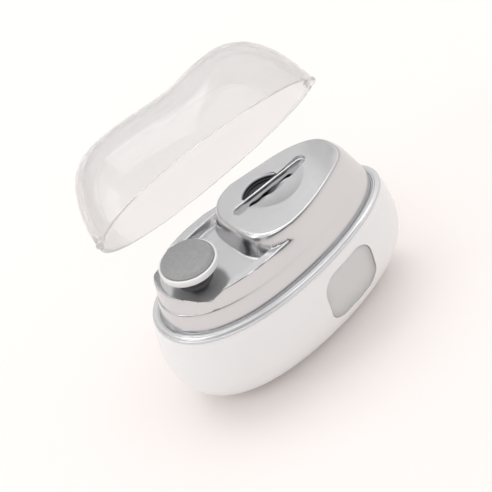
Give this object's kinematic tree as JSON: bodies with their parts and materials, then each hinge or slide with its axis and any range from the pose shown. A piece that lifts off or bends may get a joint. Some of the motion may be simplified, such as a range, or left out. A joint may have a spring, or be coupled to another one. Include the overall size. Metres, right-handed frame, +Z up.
{
  "type": "electric nail trimmer and polisher",
  "caption": "Palm-size electric nail trimmer with a slotted rotary cutter, a spinning polishing disc, a clear dust box and a clear lift-off lid.",
  "frame": {"origin": "centre of the flat face that the base stands on", "axes": "+X towards the cutter end, -X the polishing disc end, -Y the dust box side, +Z up"},
  "size_m": [0.0894, 0.066, 0.0878],
  "materials": {
    "white_plastic": "satin",
    "chrome_plated": "polished",
    "steel": "polished",
    "dark_steel": "satin",
    "clear_plastic": "clear gloss",
    "grey_abrasive": "matt",
    "dark_plastic": "matt",
    "grey_plastic": "matt",
    "brass": "satin",
    "can_steel": "satin",
    "rubber": "matt",
    "foam": "matt",
    "cell_foil": "satin",
    "board_green": "satin",
    "acetal": "satin"
  },
  "bodies": {
    "body": {"lower_shell": "white_plastic", "trim_ring": "chrome_plated", "top_cover": "chrome_plated", "slot_guard": "steel", "deck": "grey_plastic", "drum_cradle": "dark_plastic", "dust_chute": "dark_plastic", "drum_bushings": "brass", "cutter_motor_can": "can_steel", "cutter_motor_cap": "dark_plastic", "motor_strap": "steel", "disc_motor_can": "can_steel", "disc_motor_cap": "dark_plastic", "stem_seal": "rubber", "drawer_bay": "white_plastic", "battery_cell": "cell_foil", "battery_foam": "foam", "cell_tab_board": "board_green", "circuit_board": "board_green", "usb_socket": "steel", "tact_switch": "dark_plastic", "status_lens": "clear_plastic", "deck_screws": "steel", "cover_screws": "steel", "cradle_screws": "steel", "board_screws": "steel"},
    "cutter_rotor": {"cutter_drum": "dark_steel", "drum_shaft": "steel", "drum_gear": "acetal"},
    "motor_rotor": {"motor_pinion": "brass", "cutter_motor_shaft": "steel"},
    "disc_rotor": {"disc_motor_shaft": "steel", "disc_stem": "dark_plastic", "pad_holder": "white_plastic", "polishing_pad": "grey_abrasive"},
    "dust_drawer": {"dust_box": "clear_plastic"},
    "button": {"power_button": "white_plastic", "switch_plunger": "grey_plastic"},
    "lid": {"lid": "clear_plastic"}
  },
  "joints": [
    {"name": "drum_spin", "type": "hinge", "parent": "body", "child": "cutter_rotor", "pos_m": [0.0095, 0.003, 0.0459], "axis": [1, 0, 0], "continuous": true},
    {"name": "motor_spin", "type": "hinge", "parent": "body", "child": "motor_rotor", "pos_m": [0.022, 0.003, 0.0387], "axis": [1, 0, 0], "continuous": true},
    {"name": "disc_spin", "type": "hinge", "parent": "body", "child": "disc_rotor", "pos_m": [-0.0257, 0, 0.0504], "axis": [0, 0, 1], "continuous": true},
    {"name": "dust_box_slide", "type": "slide", "parent": "body", "child": "dust_drawer", "axis": [0, -1, 0], "range_m": [0, 0.03]},
    {"name": "button_press", "type": "slide", "parent": "body", "child": "button", "axis": [0, -1, 0], "range_m": [0, 0.0005], "stiffness_N_per_m": 400, "springref_m": -0.0005},
    {"name": "lid_close", "type": "hinge", "parent": "body", "child": "lid", "pos_m": [0, 0.0338, 0.034], "axis": [1, 0, 0], "range_deg": [0, 58]}
  ],
  "couplings": [
    {"joint": "motor_spin", "follows": "drum_spin", "ratio": -1.5714}
  ]
}
